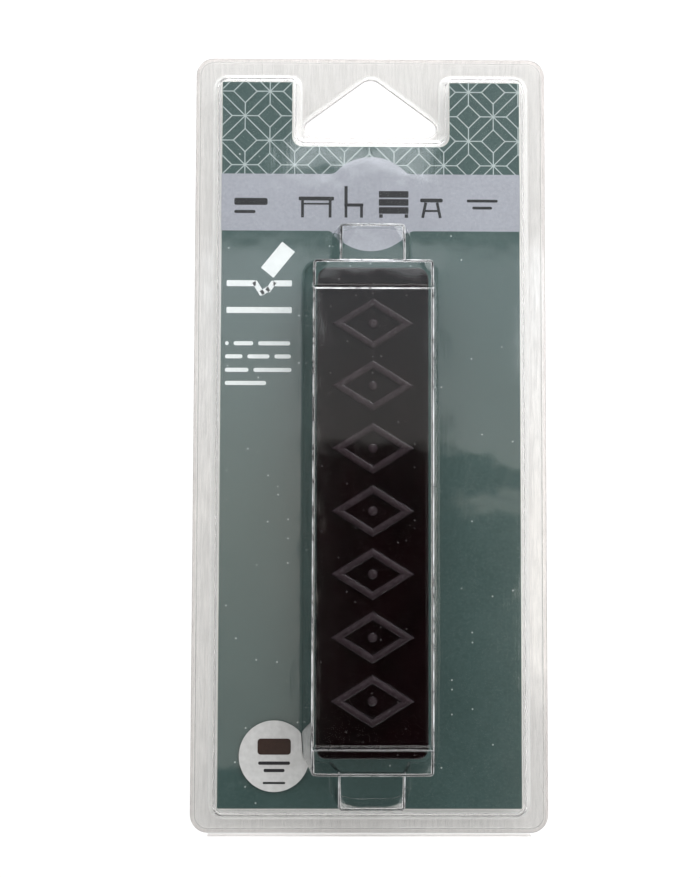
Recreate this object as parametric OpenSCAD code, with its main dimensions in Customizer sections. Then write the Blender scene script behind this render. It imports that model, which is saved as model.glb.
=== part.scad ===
// Furniture repair wax stick in its hanging clamshell pack.
// The pack lies on its back: +Z points out of its front, +Y to its hang hole, and Z = 0 is the
// back face of the rear flange. Lengths are in millimetres.

/* [Wax stick] */
// Width of the stick's front face
stick_w = 29.4; // [24:0.1:34]
// Length of the stick's front face
stick_l = 128.7; // [110:0.1:140]
// Thickness of the stick without its raised ornament
stick_t = 12.6; // [9:0.1:15]
// Corner radius of the stick, seen from the front
stick_r = 2.8; // [1.5:0.1:4]
// Mould draft of the stick's sides, in degrees
stick_draft = 3; // [1:0.5:5]
// Width of the rounding along the stick's front and back edges
stick_edge = 0.7; // [0.3:0.1:1]

/* [Raised ornament on the stick] */
// Number of lozenges in the row
motif_count = 7; // [3:1:8]
// Distance between the middles of neighbouring lozenges
motif_pitch = 16.4; // [15.5:0.1:17.5]
// Width of a lozenge across the stick
motif_w = 21.5; // [14:0.1:24]
// Length of a lozenge along the stick
motif_l = 13.4; // [9:0.1:14.5]
// Width of a raised stroke
stroke_w = 2.1; // [1.2:0.1:2.6]
// Height of a raised stroke above the front face
stroke_h = 0.8; // [0.4:0.1:1]
// Diameter of the boss in the middle of a lozenge
boss_d = 2.8; // [1.5:0.1:3.5]

/* [Clear sheet] */
// Width of the pack over its flange
pack_w = 100; // [94:1:120]
// Length of the pack over its flange and fold
pack_l = 220; // [214:1:250]
// Corner radius of the flange
pack_r = 5; // [3:0.5:7]
// Thickness of the clear sheet
sheet = 0.5; // [0.4:0.05:0.6]
// Width of the flat flange round the window
flange_w = 5.2; // [4:0.1:6]
// Sideways run of the slope between the flange and the window
slope_run = 1.7; // [1.2:0.1:2.2]
// Height of the window above the front flange
window_rise = 2.1; // [1.9:0.1:2.6]
// Corner radius of the window
window_r = 2.4; // [1.8:0.1:2.6]
// Gap between the nested slopes of the two shells
nest_gap = 0.3; // [0.2:0.05:0.5]

/* [Tray for the stick] */
// Distance of the tray's middle below the pack's middle
tray_drop = 19; // [16:0.5:22]
// Draft of the tray's and tabs' walls, in degrees
tray_draft = 12.5; // [10:0.5:14]
// Corner radius at the tray's front
tray_r = 1.2; // [1:0.1:2]
// Corner radius at the tray's foot
tray_foot_r = 3; // [2.5:0.1:4]
// Room beside the stick at the tray's front
side_gap = 0.5; // [0.4:0.05:1]
// Room above the stick at the tray's front
top_gap = 0.9; // [0.4:0.05:1.5]
// Room below the stick at the tray's front
bottom_gap = 2.6; // [1.5:0.1:4]
// Room between the stick's ornament and the tray's front
front_gap = 1.5; // [1.2:0.1:3]
// Distance of the two grooves across the tray's front from the tray's ends
groove_inset = 7.1; // [5.5:0.1:8]
// Depth of a groove
groove_depth = 0.5; // [0.4:0.1:0.8]
// Width of a groove at the tray's front
groove_w = 1.4; // [1.2:0.1:2.4]

/* [Finger tabs] */
// Width of a tab's front
tab_w = 17.4; // [12:0.1:22]
// Length by which a tab's foot stands out from the tray's foot
tab_reach = 9.8; // [8:0.1:11]
// Height of the tabs above the window
tab_rise = 11; // [7:0.1:12]
// Corner radius of the tabs
tab_r = 1.2; // [1:0.1:2]

/* [Hang hole] */
// Width of the hole at its base
hole_w = 37.6; // [32:0.1:38]
// Height of the hole
hole_h = 16.8; // [15:0.1:17.5]
// Distance from the top of the pack to the top of the hole
hole_inset = 6; // [5.5:0.1:7]
// Radius of the rounded top of the hole
hole_top_r = 4; // [3:0.1:5]
// Radius of the rounded base corners of the hole
hole_base_r = 2.6; // [2:0.1:3.5]
// Flat land between the hole and the slope round it
hole_land = 0.9; // [0.6:0.1:1.5]
// Corner radius of the window where it runs round the hole
notch_r = 2.8; // [2.5:0.1:4]

/* [Insert card] */
// Thickness of the card
card_t = 0.5; // [0.3:0.05:0.6]
// Corner radius of the card
card_r = 0.4; // [0.4:0.1:2]
// Room beside the card
card_side_gap = 0.65; // [0.6:0.05:1.5]
// Room above the card
card_top_gap = 0.6; // [0.6:0.05:1.5]
// Room below the card
card_bottom_gap = 1.5; // [0.8:0.05:2]
// Room between the card and the window in front of it
card_front_gap = 0.1; // [0.05:0.05:0.2]

/* [Shade label] */
// Diameter of the round label
label_d = 19.5; // [15:0.5:21]
// Thickness of the label
label_t = 0.1; // [0.05:0.01:0.2]
// Distance of the label's middle outside the tray's foot
label_out = 7.4; // [7:0.1:10.5]
// Distance of the label's middle above the end of the tray's foot
label_up = 2.1; // [0:0.1:10]

/* [Fold] */
// Clear distance round the fold that lets the front shell swing
fold_gap = 0.06; // [0.05:0.01:0.1]

/* [Hidden] */
arc_steps = 6;
circle_fn = 32;
bite = 0.2;

// Heights, from the back of the pack to its front
seam_z = sheet;
front_flange_z = 2 * sheet;
window_z = front_flange_z + window_rise;
card_top_z = window_z - sheet - card_front_gap;
card_z = card_top_z - card_t;
stick_top_z = card_top_z + stick_t;
tray_z = stick_top_z + stroke_h + front_gap + sheet;
tab_z = window_z + tab_rise;

// Slope of the step round the window, and the sheet's thickness measured level through it
slope_rate = slope_run / window_rise;
slope_wall = sheet * sqrt(1 + slope_rate * slope_rate);

// Draft of the tray's walls, and the sheet's thickness measured level through them
draft_rate = tan(tray_draft);
draft_wall = sheet / cos(tray_draft);

// Tray, measured outside at its front, and its foot in the window
tray_w = stick_w + 2 * side_gap + 2 * draft_wall;
tray_l = stick_l + top_gap + bottom_gap + 2 * draft_wall;
tray_flare = (tray_z - window_z) * draft_rate;
tray_foot_w = tray_w + 2 * tray_flare;
tray_foot_l = tray_l + 2 * tray_flare;
stick_y = -tray_drop + (bottom_gap - top_gap) / 2;

// Tabs, both ends of one bar through the tray
tab_flare = tab_rise * draft_rate;
tab_l = tray_foot_l + 2 * tab_reach - 2 * tab_flare;

// Hang hole and the fold
hole_top_y = pack_l / 2 - hole_inset;
hole_base_y = hole_top_y - hole_h;
fold_r = sheet;
fold_y = -pack_l / 2 + fold_r;
fold_l = pack_w - 2 * pack_r;

// Inset of the front shell's slope from the pack's edge, outside and inside, at a height
function slope_out(z) = flange_w + (z - front_flange_z) * slope_rate;
function slope_in(z) = slope_out(z) + slope_wall;

// Inset of the rear shell's nested slope, outside and inside, at a height
function plug_out(z) = slope_in(z) + nest_gap;
function plug_in(z) = plug_out(z) + slope_wall;

// Growth of a drafted wall at a height below the front it belongs to
function flare(front_z, z) = (front_z - z) * draft_rate;

function unit(v) = v / norm(v);

// Square-cornered outline with its corners rounded; each corner is [x, y, radius], anticlockwise
function rounded(corners) = [
    for (i = [0 : len(corners) - 1])
        let (
            n = len(corners),
            corner = [corners[i].x, corners[i].y],
            before = corners[(i + n - 1) % n],
            after = corners[(i + 1) % n],
            r = corners[i][2],
            a = unit([before.x, before.y] - corner),
            b = unit([after.x, after.y] - corner)
        )
        for (s = [0 : arc_steps])
            let (t = 90 * s / arc_steps)
            corner + r * (a + b) - r * (b * cos(t) + a * sin(t))
];

// Rectangle of width w and length l about the point [0, y]
function plate(w, l, r, y = 0) = rounded([
    [-w / 2, y - l / 2, r],
    [w / 2, y - l / 2, r],
    [w / 2, y + l / 2, r],
    [-w / 2, y + l / 2, r],
]);

// Outline of the raised window at an inset from the pack's edge; its corners tighten inward
function window(inset) = plate(
    pack_w - 2 * inset,
    pack_l - 2 * inset,
    window_r + slope_run + flange_w - inset
);

// Outline of the notch in the window round the hang hole; it widens as the window shrinks
function notch(inset) =
    let (
        grown = inset - flange_w,
        low_y = hole_base_y - hole_land - grown,
        length = pack_l / 2 - low_y
    )
    plate(hole_w + 2 * (hole_land + grown), length, notch_r - slope_run + grown, low_y + length / 2);

// Solid skinned over outlines with equally many points, given as [height, outline] from below
module skin(levels) {
    n = len(levels[0][1]);
    last = len(levels) - 1;
    points = [for (level = levels) for (p = level[1]) [p.x, p.y, level[0]]];
    walls = [
        for (k = [0 : last - 1], i = [0 : n - 1])
            let (j = (i + 1) % n, low = k * n, high = low + n)
            each [[low + i, high + i, high + j], [low + i, high + j, low + j]]
    ];
    floor_face = [for (i = [0 : n - 1]) i];
    top_face = [for (i = [n - 1 : -1 : 0]) last * n + i];
    polyhedron(points, concat([floor_face], walls, [top_face]));
}

// Flat flange of a shell, from the fold to the top of the pack
module flange(z) {
    low_y = fold_y + fold_r + fold_gap;
    length = pack_l / 2 - low_y;
    translate([0, 0, z])
        linear_extrude(sheet)
            polygon(plate(pack_w, length, pack_r, low_y + length / 2));
}

// Raised window with its notch, from z0 up to z1; its slope has the given inset at z0
module platform(z0, z1, inset) {
    inset_at = function (z) inset + (z - z0) * slope_rate;
    difference() {
        skin([for (z = [z0, z1]) [z, window(inset_at(z))]]);
        skin([for (z = [z0 - bite, z1 + bite]) [z, notch(inset_at(z))]]);
    }
}

// Drafted block from the height z up to front_z, where its outline is w by l
module drafted(w, l, r, foot_r, z, front_z) {
    grown = flare(front_z, z);
    skin([
        [z, plate(w + 2 * grown, l + 2 * grown, foot_r, -tray_drop)],
        [front_z, plate(w, l, r, -tray_drop)],
    ]);
}

// Outside of the tray, from inside the window's sheet upward; grown lets other pieces keep clear
module tray_outside(grown = 0) {
    drafted(tray_w + 2 * grown, tray_l + 2 * grown, tray_r, tray_foot_r, window_z - sheet / 2, tray_z);
}

module tray_inside() {
    drafted(tray_w - 2 * draft_wall, tray_l - 2 * draft_wall, tray_r - sheet, tray_foot_r - sheet,
        window_z - 2 * sheet, tray_z - sheet);
}

// The two tabs, outside and inside
module tabs_outside() {
    drafted(tab_w, tab_l, tab_r, tab_r, window_z - sheet / 2, tab_z);
}

module tabs_inside() {
    drafted(tab_w - 2 * draft_wall, tab_l - 2 * draft_wall, tab_r - sheet, tab_r - sheet,
        window_z - 2 * sheet, tab_z - sheet);
}

// The two V grooves across the tray's front, sunk below front_z
module grooves(front_z) {
    rate = groove_w / 2 / groove_depth;
    half = rate * (groove_depth + bite);
    for (side = [-1, 1])
        translate([0, -tray_drop + side * (tray_l / 2 - groove_inset), front_z])
            rotate([90, 0, 90])
                linear_extrude(2 * tray_foot_w, center = true)
                    polygon([[-half, bite], [0, -groove_depth], [half, bite]]);
}

// Rounded triangle that the pack hangs from, through both shells
module hang_hole() {
    base_x = hole_w / 2 - hole_base_r;
    translate([0, 0, -bite])
        linear_extrude(front_flange_z + 2 * bite)
            hull() {
                translate([0, hole_top_y - hole_top_r]) circle(hole_top_r, $fn = circle_fn);
                for (x = [-base_x, base_x])
                    translate([x, hole_base_y + hole_base_r]) circle(hole_base_r, $fn = circle_fn);
            }
}

module front_shell() {
    color([0.86, 0.9, 0.92, 0.35])
    difference() {
        union() {
            flange(seam_z);
            platform(seam_z + bite, window_z, slope_out(seam_z + bite));
            tray_outside();
            tabs_outside();
        }
        platform(seam_z - bite, window_z - sheet, slope_in(seam_z - bite));
        difference() {
            tray_inside();
            grooves(tray_z - sheet);
        }
        tabs_inside();
        grooves(tray_z);
        hang_hole();
    }
}

module rear_shell() {
    color([0.84, 0.88, 0.9, 0.35])
    difference() {
        union() {
            flange(0);
            platform(bite, card_z, plug_out(bite));
        }
        platform(-bite, card_z - sheet, plug_in(-bite));
        hang_hole();
    }
}

// Bead where the sheet is folded, on the axis that the front shell swings about
module hinge_fold() {
    color([0.8, 0.85, 0.88, 0.5])
    translate([0, fold_y, seam_z])
        rotate([0, 90, 0])
            cylinder(h = fold_l, r = fold_r, center = true);
}

// Card behind the window, cut out round the hang hole like the window
module insert_card() {
    inset = slope_in(card_top_z);
    grown = inset - flange_w;
    w = pack_w - 2 * (inset + card_side_gap);
    low_y = -pack_l / 2 + inset + card_bottom_gap;
    high_y = pack_l / 2 - inset - card_top_gap;
    cut_w = hole_w + 2 * (hole_land + grown + card_side_gap);
    cut_y = hole_base_y - hole_land - grown - card_top_gap;
    cut_l = pack_l / 2 - cut_y;
    color([0.24, 0.32, 0.3])
    translate([0, 0, card_z])
        linear_extrude(card_t)
            difference() {
                polygon(plate(w, high_y - low_y, card_r, (high_y + low_y) / 2));
                polygon(plate(cut_w, cut_l, notch_r, cut_y + cut_l / 2));
            }
}

// One raised lozenge with its boss, sunk a little into the face it stands on
module lozenge() {
    inner = 1 - 2 * stroke_w / motif_l;
    translate([0, 0, -bite])
        linear_extrude(stroke_h + bite) {
            difference() {
                rhombus(1);
                rhombus(inner);
            }
            circle(d = boss_d, $fn = circle_fn);
        }
}

module rhombus(share) {
    x = share * motif_w / 2;
    y = share * motif_l / 2;
    polygon([[-x, 0], [0, -y], [x, 0], [0, y]]);
}

module wax_stick() {
    grown = stick_t * tan(stick_draft);
    back_w = stick_w + 2 * grown;
    back_l = stick_l + 2 * grown;
    color([0.1, 0.06, 0.06])
    translate([0, stick_y, 0]) {
        skin([
            [card_top_z, plate(back_w - 2 * stick_edge, back_l - 2 * stick_edge, stick_r)],
            [card_top_z + stick_edge, plate(back_w, back_l, stick_r)],
            [stick_top_z - stick_edge, plate(stick_w, stick_l, stick_r)],
            [stick_top_z, plate(stick_w - 2 * stick_edge, stick_l - 2 * stick_edge, stick_r)],
        ]);
        for (i = [0 : motif_count - 1])
            translate([0, (i - (motif_count - 1) / 2) * motif_pitch, stick_top_z])
                lozenge();
    }
}

// Round label on the window, trimmed where the foot of the tray's wall begins
module shade_label() {
    x = -tray_foot_w / 2 - label_out;
    y = -tray_drop - tray_foot_l / 2 + label_up;
    color([0.78, 0.78, 0.78])
    difference() {
        translate([x, y, window_z]) cylinder(h = label_t, d = label_d);
        tray_outside(label_t);
    }
}

front_shell();
rear_shell();
hinge_fold();
insert_card();
wax_stick();
shade_label();
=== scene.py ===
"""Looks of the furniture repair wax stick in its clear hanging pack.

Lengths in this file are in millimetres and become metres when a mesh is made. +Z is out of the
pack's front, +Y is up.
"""
import math

import bpy
import numpy as np
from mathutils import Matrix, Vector
from mathutils.geometry import delaunay_2d_cdt


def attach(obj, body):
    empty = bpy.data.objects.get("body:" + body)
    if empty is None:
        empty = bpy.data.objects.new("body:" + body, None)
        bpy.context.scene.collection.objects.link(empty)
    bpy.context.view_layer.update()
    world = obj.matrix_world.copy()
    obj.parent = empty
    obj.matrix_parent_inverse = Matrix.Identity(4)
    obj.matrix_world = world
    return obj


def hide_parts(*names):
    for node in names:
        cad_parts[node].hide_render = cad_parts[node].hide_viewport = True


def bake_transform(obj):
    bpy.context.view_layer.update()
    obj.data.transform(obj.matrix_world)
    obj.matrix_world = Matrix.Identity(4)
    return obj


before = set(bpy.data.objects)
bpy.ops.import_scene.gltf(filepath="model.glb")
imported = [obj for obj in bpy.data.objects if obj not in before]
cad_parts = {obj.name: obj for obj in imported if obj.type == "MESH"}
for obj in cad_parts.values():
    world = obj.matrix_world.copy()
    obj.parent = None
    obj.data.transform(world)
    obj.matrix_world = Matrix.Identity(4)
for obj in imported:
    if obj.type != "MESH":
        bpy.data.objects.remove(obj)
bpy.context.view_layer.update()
MM = 0.001
MERGE = 2000  # points that agree to 1/2000 mm are joined

# Pack, as in the part's source
PACK_W, PACK_L, PACK_R = 100.0, 220.0, 5.0
SHEET = 0.5
FLANGE_LOW_Y = -108.94
FLANGE_W, SLOPE_RUN, WINDOW_RISE, WINDOW_R = 5.2, 1.7, 2.1, 2.4
SEAM_Z, FLANGE_Z, WINDOW_Z = 0.5, 1.0, 3.1
SLOPE_RATE = SLOPE_RUN / WINDOW_RISE
SLOPE_WALL = SHEET * math.hypot(1, SLOPE_RATE)
NEST_GAP = 0.3
SEAM_GAP = 0.03
FOLD_Y, FOLD_R, FOLD_L = -109.5, 0.5, 90.0

# Tray and tabs
DRAFT = math.radians(12.5)
TRAY_Y = -19.0
TRAY_HALF = (15.712, 66.612)
TRAY_Z, TRAY_R = 17.9, 1.2
TAB_HALF = (8.7, 77.25)
TAB_Z, TAB_R = 14.1, 1.2
GROOVE_OFF, GROOVE_DEPTH, GROOVE_HALF = 59.51, 0.5, 0.85

# Hang hole: the middle and radius of each rounded corner, anticlockwise
HOLE = [(-16.2, 89.8, 2.6), (16.2, 89.8, 2.6), (0.0, 100.0, 4.0)]
HOLE_BASE = 0.4  # share of a growth that the hole's base takes
NOTCH_HALF, NOTCH_Y = 19.7, 86.3
NOTCH_RIM_R, NOTCH_FLOOR_R = 3.2, 1.1

# Card
CARD_X, CARD_LOW, CARD_HIGH = 42.29, -101.44, 102.34
CARD_CUT_X, CARD_CUT_Y = 22.2, 83.84
CARD_R, CARD_CUT_R = 0.35, 2.8
CARD_Z, CARD_TOP = 2.0, 2.5

# Stick
STICK_Y = -18.15
STICK_HALF = (14.7, 64.35)
STICK_DRAFT = 0.66
STICK_Z, STICK_TOP, STICK_R = 2.5, 15.1, 2.8
MOTIF_COUNT, MOTIF_PITCH, MOTIF_HALF = 7, 16.4, (10.75, 6.7)
STROKE_H, STROKE_MID, STROKE_HALF, BOSS_R = 0.8, 0.843, 1.1, 1.45

# Label
LABEL_XY, LABEL_R, LABEL_T = (-26.39, -86.79), 9.75, 0.1


def unit(v):
    return v / np.linalg.norm(v)


def turned(v, angle):
    c, s = math.cos(angle), math.sin(angle)
    return np.array((c * v[0] - s * v[1], s * v[0] + c * v[1]))


def rounded(points, radii, steps=6, closed=False):
    """A polyline with rounded corners: its points, and its left-hand normal at each."""
    points = [np.array(p, float) for p in points]
    n = len(points)
    path, normals = [], []

    def add(p, along):
        path.append(p)
        normals.append((-along[1], along[0]))

    if not closed:
        add(points[0], unit(points[1] - points[0]))
    for k, i in enumerate(range(n) if closed else range(1, n - 1)):
        before = unit(points[i] - points[i - 1])
        after = unit(points[(i + 1) % n] - points[i])
        turn = math.atan2(before[0] * after[1] - before[1] * after[0], before @ after)
        r = max(radii[k], 0.02)
        start = points[i] - before * r * math.tan(abs(turn) / 2)
        side = np.array((-before[1], before[0])) * math.copysign(r, turn)
        for j in range(steps + 1):
            angle = turn * j / steps
            add(start + side + turned(-side, angle), turned(before, angle))
    if not closed:
        add(points[-1], unit(points[-1] - points[-2]))
    return np.array(path), np.array(normals)


def box_loop(x, low_y, high_y, r, steps=8):
    """Rounded rectangle, anticlockwise, with its inward normals."""
    corners = [(-x, low_y), (x, low_y), (x, high_y), (-x, high_y)]
    return rounded(corners, [r] * 4, steps, closed=True)


def notched_loop(x, low_y, high_y, cut_x, cut_y, radii, steps=8):
    """Rounded rectangle with a notch in its upper edge; radii: corners, notch rim, notch floor."""
    corner, rim, floor = radii
    points = [
        (-x, low_y), (x, low_y), (x, high_y), (cut_x, high_y),
        (cut_x, cut_y), (-cut_x, cut_y), (-cut_x, high_y), (-x, high_y),
    ]
    sizes = [corner, corner, corner, rim, floor, floor, rim, corner]
    return rounded(points, sizes, steps, closed=True)


def pack_loop(inset):
    """Outline of the flange, with the direction in which the inset grows."""
    return box_loop(
        PACK_W / 2 - inset, FLANGE_LOW_Y + inset, PACK_L / 2 - inset, PACK_R - inset
    )


def window_loop(inset):
    """Outline of the raised window and its notch at an inset from the pack's edge."""
    grown = inset - FLANGE_W
    return notched_loop(
        PACK_W / 2 - inset,
        -PACK_L / 2 + inset,
        PACK_L / 2 - inset,
        NOTCH_HALF + grown,
        NOTCH_Y - grown,
        (WINDOW_R + SLOPE_RUN - grown, NOTCH_RIM_R - grown, NOTCH_FLOOR_R + grown),
    )


def hole_loop(out, steps=12):
    """Outline of the hang hole grown by a distance, less along its base, with the way it grows."""
    points, normals = [], []
    n = len(HOLE)
    for i, (x, y, r) in enumerate(HOLE):
        angles = []
        for a, b in (((i - 1) % n, i), (i, (i + 1) % n)):
            gap = np.array(HOLE[b][:2]) - np.array(HOLE[a][:2])
            lean = math.acos((HOLE[a][2] - HOLE[b][2]) / np.linalg.norm(gap))
            angles.append(math.atan2(gap[1], gap[0]) - lean)
        sweep = (angles[1] - angles[0]) % (2 * math.pi)
        for j in range(steps + 1):
            angle = angles[0] + sweep * j / steps
            d = np.array((math.cos(angle), math.sin(angle)))
            share = HOLE_BASE + (1 - HOLE_BASE) * min((d[1] + 1) / 1.2, 1)
            points.append(np.array((x, y)) + d * (r + out * share))
            normals.append(d)
    return np.array(points), np.array(normals)


def inside(points, loop):
    """Which points lie inside a closed loop."""
    x, y = points[:, 0], points[:, 1]
    hit = np.zeros(len(points), bool)
    for a, b in zip(loop, np.roll(loop, -1, axis=0)):
        if a[1] == b[1]:
            continue
        crosses = (a[1] > y) != (b[1] > y)
        hit ^= crosses & (x < (b[0] - a[0]) * (y - a[1]) / (b[1] - a[1]) + a[0])
    return hit


def between(outer, holes):
    """Points and triangles that fill a loop around the holes in it."""
    points, edges = [], []
    for loop in [outer, *holes]:
        start, n = len(points), len(loop)
        points += [tuple(p) for p in loop]
        edges += [(start + i, start + (i + 1) % n) for i in range(n)]
    made = delaunay_2d_cdt([Vector(p) for p in points], edges, [], 0, 1e-5)
    spots = np.array([points[o[0]] if o else tuple(v) for v, o in zip(made[0], made[3])])
    faces = np.array(made[2])
    middles = spots[faces].mean(axis=1)
    keep = inside(middles, np.array(outer))
    for hole in holes:
        keep &= ~inside(middles, np.array(hole))
    return spots, faces[keep]


def normals_of(height, x, y):
    """Unit normals of a height field."""
    e = 0.004
    dx = (height(x + e, y) - height(x - e, y)) / (2 * e)
    dy = (height(x, y + e) - height(x, y - e)) / (2 * e)
    n = np.stack((-dx, -dy, np.ones_like(dx)), axis=-1)
    return n / np.linalg.norm(n, axis=-1, keepdims=True)


class Solid:
    """Collects faces with a normal at each corner, and joins points that meet."""

    def __init__(self):
        self.points, self.where, self.faces, self.normals, self.slots = [], {}, [], [], []

    def point(self, p):
        key = tuple(round(c * MERGE) for c in p)
        if key not in self.where:
            self.where[key] = len(self.points)
            self.points.append(tuple(p))
        return self.where[key]

    def face(self, corners, normals, slot=0):
        ids = [self.point(p) for p in corners]
        keep = [i for i in range(len(ids)) if ids[i] != ids[i - 1]]
        if len(keep) < 3 or len({ids[i] for i in keep}) != len(keep):
            return
        spots = np.array([corners[i] for i in keep])
        area = np.cross(spots, np.roll(spots, -1, axis=0)).sum(axis=0)
        if area @ np.sum([normals[i] for i in keep], axis=0) < 0:
            keep.reverse()
        self.faces.append([ids[i] for i in keep])
        self.normals += [tuple(normals[i]) for i in keep]
        self.slots.append(slot)

    def loft(self, loop_at, path, slot=0, sink=None):
        """Skins a profile of (inset, height) points round a family of loops.

        The slot may be a function of the inset, and sink may change the heights along a loop.
        """
        rings = []
        for (inset, z), (ns, nz) in zip(*path):
            loop, grow = loop_at(inset)
            heights = np.full(len(loop), z)
            if sink:
                heights = sink(loop, heights)
            rings.append((
                np.column_stack((loop, heights)),
                np.column_stack((grow * ns, np.full(len(loop), nz))),
            ))
        insets = path[0][:, 0]
        for k, ((p, a), (q, b)) in enumerate(zip(rings, rings[1:])):
            finish = slot((insets[k] + insets[k + 1]) / 2) if callable(slot) else slot
            for i in range(len(p)):
                j = (i + 1) % len(p)
                self.face([p[i], p[j], q[j], q[i]], [a[i], a[j], b[j], b[i]], finish)

    def fill(self, outer, holes, z, up=1, slot=0):
        """Flat sheet inside a loop, around the holes in it."""
        spots, faces = between(outer, holes)
        for f in faces:
            self.face([(*spots[i], z) for i in f], [(0, 0, up)] * 3, slot)

    def field(self, xs, ys, height, up=1, slot_at=None):
        """Sheet over a grid, with each cell split along its more level diagonal."""
        x, y = np.meshgrid(xs, ys, indexing="ij")
        z = height(x, y)
        n = up * normals_of(height, x, y)
        cols, rows = z.shape
        ids = np.zeros(z.shape, int)
        for i in range(cols):
            for j in range(rows):
                spot = (x[i, j], y[i, j], z[i, j])
                if i in (0, cols - 1) or j in (0, rows - 1):
                    ids[i, j] = self.point(spot)
                else:
                    ids[i, j] = len(self.points)
                    self.points.append(spot)
        a, b, c, d = z[:-1, :-1], z[1:, :-1], z[1:, 1:], z[:-1, 1:]
        flat = np.abs(a + c - b - d) < 1e-4
        straight = np.abs(a - c) < np.abs(b - d)
        normals = [tuple(v) for v in n.reshape(-1, 3)]
        slots = np.zeros(flat.shape, int)
        if slot_at:
            mid_x, mid_y = (xs[:-1] + xs[1:]) / 2, (ys[:-1] + ys[1:]) / 2
            slots = slot_at(*np.meshgrid(mid_x, mid_y, indexing="ij"))
        for i in range(cols - 1):
            for j in range(rows - 1):
                cell = ((i, j), (i + 1, j), (i + 1, j + 1), (i, j + 1))
                if flat[i, j]:
                    parts = (cell,)
                elif straight[i, j]:
                    parts = (cell[:3], (cell[0], cell[2], cell[3]))
                else:
                    parts = ((cell[0], cell[1], cell[3]), cell[1:])
                for part in parts:
                    part = part if up > 0 else part[::-1]
                    self.faces.append([int(ids[k]) for k in part])
                    self.normals += [normals[k[0] * rows + k[1]] for k in part]
                    self.slots.append(int(slots[i, j]))

    def plate(self, loop, z0, z1, slot=0):
        """Thin upright-sided plate with the loop as its outline."""
        loop = np.array(loop)
        self.fill(loop, [], z1, 1, slot)
        self.fill(loop, [], z0, -1, slot)
        for p, q in zip(loop, np.roll(loop, -1, axis=0)):
            n = (q[1] - p[1], p[0] - q[0], 0)
            corners = [(*p, z0), (*q, z0), (*q, z1), (*p, z1)]
            self.face(corners, [n] * 4, slot)

    def piece(self, name, body, materials, slot, replaces=None):
        """Makes the Blender object, sets it on its body and hides the part it replaces."""
        mesh = bpy.data.meshes.new(name)
        mesh.from_pydata([tuple(c * MM for c in p) for p in self.points], [], self.faces)
        for m in materials:
            mesh.materials.append(m)
        mesh.polygons.foreach_set("material_index", self.slots)
        mesh.polygons.foreach_set("use_smooth", [True] * len(self.faces))
        mesh.normals_split_custom_set([Vector(n).normalized() for n in self.normals])
        mesh.update()
        piece = bpy.data.objects.new(name, mesh)
        bpy.context.scene.collection.objects.link(piece)
        if body:
            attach(piece, body)
        if replaces:
            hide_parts(replaces)
        return piece


# Materials

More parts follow.
